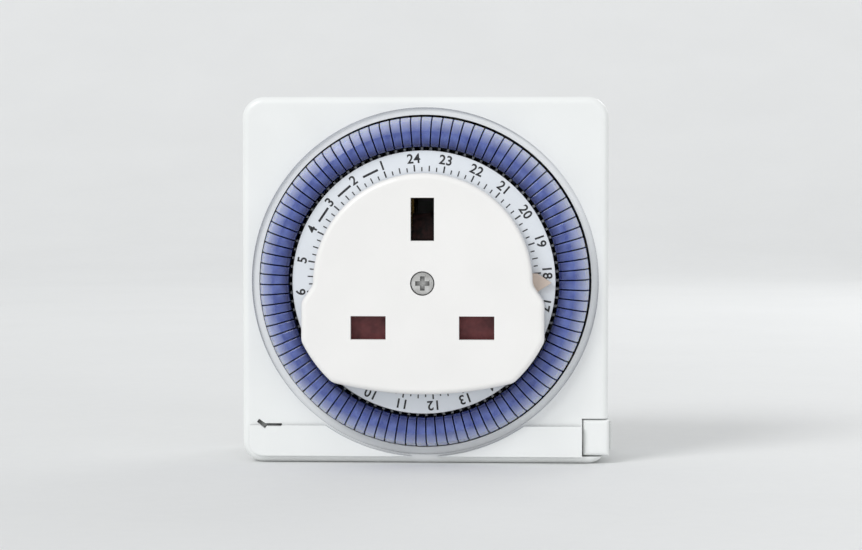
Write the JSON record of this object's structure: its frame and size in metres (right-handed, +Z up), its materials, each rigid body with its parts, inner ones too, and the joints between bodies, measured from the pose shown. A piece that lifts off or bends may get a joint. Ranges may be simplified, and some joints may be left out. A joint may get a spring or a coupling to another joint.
{
  "type": "programmable timer",
  "caption": "Square plug-in mechanical timer with a rotating dial edged by push tappets round a shuttered square-pin socket, and square plug pins on its back.",
  "frame": {"origin": "on the dial axis, where it meets the flat rear face that lies against the wall socket", "axes": "+Z up, +X to the right seen from the front, -Y out of the front towards the user, +Y along the plug pins into the wall"},
  "size_m": [0.0767, 0.0682, 0.076],
  "materials": {
    "case_white": "satin gloss",
    "face_white": "satin gloss",
    "dial_white": "satin",
    "tappet_blue": "gloss",
    "shutter_brown": "satin",
    "base_grey": "matt",
    "pointer_tan": "satin",
    "gear_nylon": "satin",
    "switch_black": "matt",
    "sleeve_black": "satin",
    "pin_brass": "drawn, lightly polished",
    "contact_brass": "rolled sheet",
    "screw_steel": "zinc plated",
    "pin_steel": "ground",
    "motor_steel": "plated sheet",
    "coil_bobbin": "moulded bobbin with taped winding",
    "lead_sleeve": "insulated wire"
  },
  "bodies": {
    "case": {"rear_case": "case_white", "front_case": "case_white", "socket_cover": "face_white", "socket_base": "base_grey", "time_pointer": "pointer_tan", "switch_housing": "switch_black", "switch_lid": "switch_black", "pin_sleeves": "sleeve_black", "earth_pin": "pin_brass", "line_pin": "pin_brass", "neutral_pin": "pin_brass", "earth_contact": "contact_brass", "neutral_contact": "contact_brass", "line_contact": "contact_brass", "line_input_strap": "contact_brass", "line_output_strap": "contact_brass", "case_screws": "screw_steel", "chassis_screws": "screw_steel", "socket_screw": "screw_steel", "gear_pins": "pin_steel", "lever_pin": "pin_steel", "blade_pin": "pin_steel", "shutter_spring": "pin_steel", "motor_cup": "motor_steel", "motor_cover": "motor_steel", "motor_coil": "coil_bobbin", "motor_leads": "lead_sleeve"},
    "dial": {"dial_ring": "dial_white"},
    "drive_gear": {"drive_gear": "gear_nylon"},
    "idler_gear": {"idler_gear": "gear_nylon"},
    "motor_pinion": {"motor_pinion": "gear_nylon"},
    "switch_lever": {"switch_lever": "switch_black"},
    "switch_plunger": {"switch_plunger": "switch_black"},
    "contact_blade": {"contact_blade": "contact_brass"},
    "override_slider": {"override_slider": "case_white"},
    "shutter": {"shutter": "shutter_brown"},
    "tappets_01": {"tappets_01": "tappet_blue"},
    "tappets_02": {"tappets_02": "tappet_blue"},
    "tappets_03": {"tappets_03": "tappet_blue"},
    "tappets_04": {"tappets_04": "tappet_blue"},
    "tappets_05": {"tappets_05": "tappet_blue"},
    "tappets_06": {"tappets_06": "tappet_blue"},
    "tappets_07": {"tappets_07": "tappet_blue"},
    "tappets_08": {"tappets_08": "tappet_blue"},
    "tappets_09": {"tappets_09": "tappet_blue"},
    "tappets_10": {"tappets_10": "tappet_blue"},
    "tappets_11": {"tappets_11": "tappet_blue"},
    "tappets_12": {"tappets_12": "tappet_blue"},
    "tappets_13": {"tappets_13": "tappet_blue"},
    "tappets_14": {"tappets_14": "tappet_blue"},
    "tappets_15": {"tappets_15": "tappet_blue"},
    "tappets_16": {"tappets_16": "tappet_blue"},
    "tappets_17": {"tappets_17": "tappet_blue"},
    "tappets_18": {"tappets_18": "tappet_blue"},
    "tappets_19": {"tappets_19": "tappet_blue"},
    "tappets_20": {"tappets_20": "tappet_blue"},
    "tappets_21": {"tappets_21": "tappet_blue"},
    "tappets_22": {"tappets_22": "tappet_blue"},
    "tappets_23": {"tappets_23": "tappet_blue"},
    "tappets_24": {"tappets_24": "tappet_blue"}
  },
  "joints": [
    {"name": "dial_turn", "type": "hinge", "parent": "case", "child": "dial", "pos_m": [0, 0, 0], "axis": [0, 1, 0], "continuous": true},
    {"name": "lever_tilt", "type": "hinge", "parent": "case", "child": "switch_lever", "pos_m": [0.0198, -0.016, -0.009], "axis": [1, 0, 0], "range_deg": [0, 8.8]},
    {"name": "override_slide", "type": "slide", "parent": "case", "child": "override_slider", "axis": [0, 1, 0], "range_m": [0, 0.004]},
    {"name": "shutter_slide", "type": "slide", "parent": "case", "child": "shutter", "axis": [0, 0, -1], "range_m": [0, 0.0054], "deforming": ["shutter_spring"]},
    {"name": "drive_gear_turn", "type": "hinge", "parent": "case", "child": "drive_gear", "pos_m": [-0.0215, -0.02, -0.0215], "axis": [0, 1, 0], "continuous": true},
    {"name": "idler_gear_turn", "type": "hinge", "parent": "case", "child": "idler_gear", "pos_m": [-0.0225, -0.02, -0.00753], "axis": [0, 1, 0], "continuous": true},
    {"name": "motor_pinion_turn", "type": "hinge", "parent": "case", "child": "motor_pinion", "pos_m": [-0.02007, -0.02, 0.00626], "axis": [0, 1, 0], "continuous": true},
    {"name": "plunger_slide", "type": "slide", "parent": "case", "child": "switch_plunger", "axis": [0, 1, 0], "range_m": [0, 0.0018]},
    {"name": "blade_tilt", "type": "hinge", "parent": "case", "child": "contact_blade", "pos_m": [0.02, -0.009, -0.0305], "axis": [-1, 0, 0], "range_deg": [0, 9.4]},
    {"name": "tappets_01_press", "type": "slide", "parent": "dial", "child": "tappets_01", "axis": [0, 1, 0], "range_m": [0, 0.0024]},
    {"name": "tappets_02_press", "type": "slide", "parent": "dial", "child": "tappets_02", "axis": [0, 1, 0], "range_m": [0, 0.0024]},
    {"name": "tappets_03_press", "type": "slide", "parent": "dial", "child": "tappets_03", "axis": [0, 1, 0], "range_m": [0, 0.0024]},
    {"name": "tappets_04_press", "type": "slide", "parent": "dial", "child": "tappets_04", "axis": [0, 1, 0], "range_m": [0, 0.0024]},
    {"name": "tappets_05_press", "type": "slide", "parent": "dial", "child": "tappets_05", "axis": [0, 1, 0], "range_m": [0, 0.0024]},
    {"name": "tappets_06_press", "type": "slide", "parent": "dial", "child": "tappets_06", "axis": [0, 1, 0], "range_m": [0, 0.0024]},
    {"name": "tappets_07_press", "type": "slide", "parent": "dial", "child": "tappets_07", "axis": [0, 1, 0], "range_m": [0, 0.0024]},
    {"name": "tappets_08_press", "type": "slide", "parent": "dial", "child": "tappets_08", "axis": [0, 1, 0], "range_m": [0, 0.0024]},
    {"name": "tappets_09_press", "type": "slide", "parent": "dial", "child": "tappets_09", "axis": [0, 1, 0], "range_m": [0, 0.0024]},
    {"name": "tappets_10_press", "type": "slide", "parent": "dial", "child": "tappets_10", "axis": [0, 1, 0], "range_m": [0, 0.0024]},
    {"name": "tappets_11_press", "type": "slide", "parent": "dial", "child": "tappets_11", "axis": [0, 1, 0], "range_m": [0, 0.0024]},
    {"name": "tappets_12_press", "type": "slide", "parent": "dial", "child": "tappets_12", "axis": [0, 1, 0], "range_m": [0, 0.0024]},
    {"name": "tappets_13_press", "type": "slide", "parent": "dial", "child": "tappets_13", "axis": [0, 1, 0], "range_m": [0, 0.0024]},
    {"name": "tappets_14_press", "type": "slide", "parent": "dial", "child": "tappets_14", "axis": [0, 1, 0], "range_m": [0, 0.0024]},
    {"name": "tappets_15_press", "type": "slide", "parent": "dial", "child": "tappets_15", "axis": [0, 1, 0], "range_m": [0, 0.0024]},
    {"name": "tappets_16_press", "type": "slide", "parent": "dial", "child": "tappets_16", "axis": [0, 1, 0], "range_m": [0, 0.0024]},
    {"name": "tappets_17_press", "type": "slide", "parent": "dial", "child": "tappets_17", "axis": [0, 1, 0], "range_m": [0, 0.0024]},
    {"name": "tappets_18_press", "type": "slide", "parent": "dial", "child": "tappets_18", "axis": [0, 1, 0], "range_m": [0, 0.0024]},
    {"name": "tappets_19_press", "type": "slide", "parent": "dial", "child": "tappets_19", "axis": [0, 1, 0], "range_m": [0, 0.0024]},
    {"name": "tappets_20_press", "type": "slide", "parent": "dial", "child": "tappets_20", "axis": [0, 1, 0], "range_m": [0, 0.0024]},
    {"name": "tappets_21_press", "type": "slide", "parent": "dial", "child": "tappets_21", "axis": [0, 1, 0], "range_m": [0, 0.0024]},
    {"name": "tappets_22_press", "type": "slide", "parent": "dial", "child": "tappets_22", "axis": [0, 1, 0], "range_m": [0, 0.0024]},
    {"name": "tappets_23_press", "type": "slide", "parent": "dial", "child": "tappets_23", "axis": [0, 1, 0], "range_m": [0, 0.0024]},
    {"name": "tappets_24_press", "type": "slide", "parent": "dial", "child": "tappets_24", "axis": [0, 1, 0], "range_m": [0, 0.0024]}
  ],
  "couplings": [
    {"joint": "drive_gear_turn", "follows": "dial_turn", "ratio": -5.3333},
    {"joint": "idler_gear_turn", "follows": "dial_turn", "ratio": 19.556},
    {"joint": "motor_pinion_turn", "follows": "dial_turn", "ratio": -71.704},
    {"joint": "plunger_slide", "follows": "lever_tilt", "m_per_rad": 0.011},
    {"joint": "blade_tilt", "follows": "lever_tilt", "ratio": 1.0476}
  ]
}
